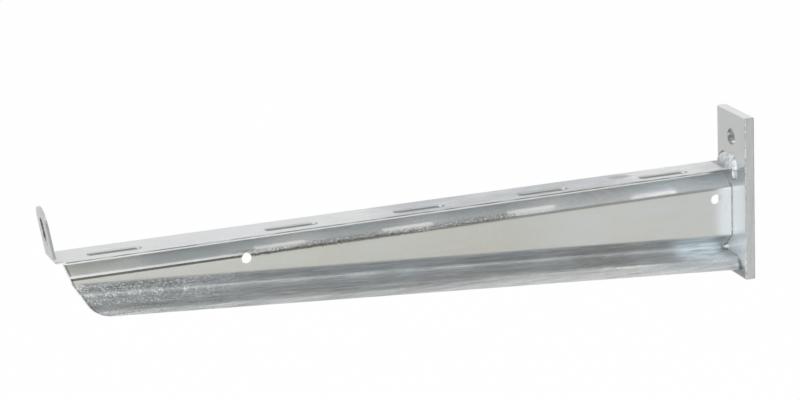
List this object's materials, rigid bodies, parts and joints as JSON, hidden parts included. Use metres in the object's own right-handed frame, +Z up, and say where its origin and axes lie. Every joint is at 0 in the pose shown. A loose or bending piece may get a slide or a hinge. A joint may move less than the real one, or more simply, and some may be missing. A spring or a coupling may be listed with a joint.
{
  "type": "wall bracket",
  "caption": "Cantilever wall bracket: a tapered arm folded from sheet steel, with a slotted top flange and an upturned end tab, welded to a drilled flat-bar wall plate.",
  "frame": {"origin": "on the wall, on the axis of the fixing hole in the wall plate", "axes": "+X into the wall, with the arm running towards -X; +Z up; the arm's open trough faces -Y"},
  "size_m": [0.5504, 0.05, 0.13],
  "materials": {
    "plate_zinc": "bright zinc coating, satin",
    "sheet_zinc": "bright zinc coating, satin with rolling streaks",
    "weld_zinc": "zinc-coated weld metal, uneven"
  },
  "bodies": {
    "root": {"wall_plate": "plate_zinc", "arm": "sheet_zinc", "top_weld": "weld_zinc", "trough_weld": "weld_zinc", "back_weld": "weld_zinc"}
  },
  "joints": []
}
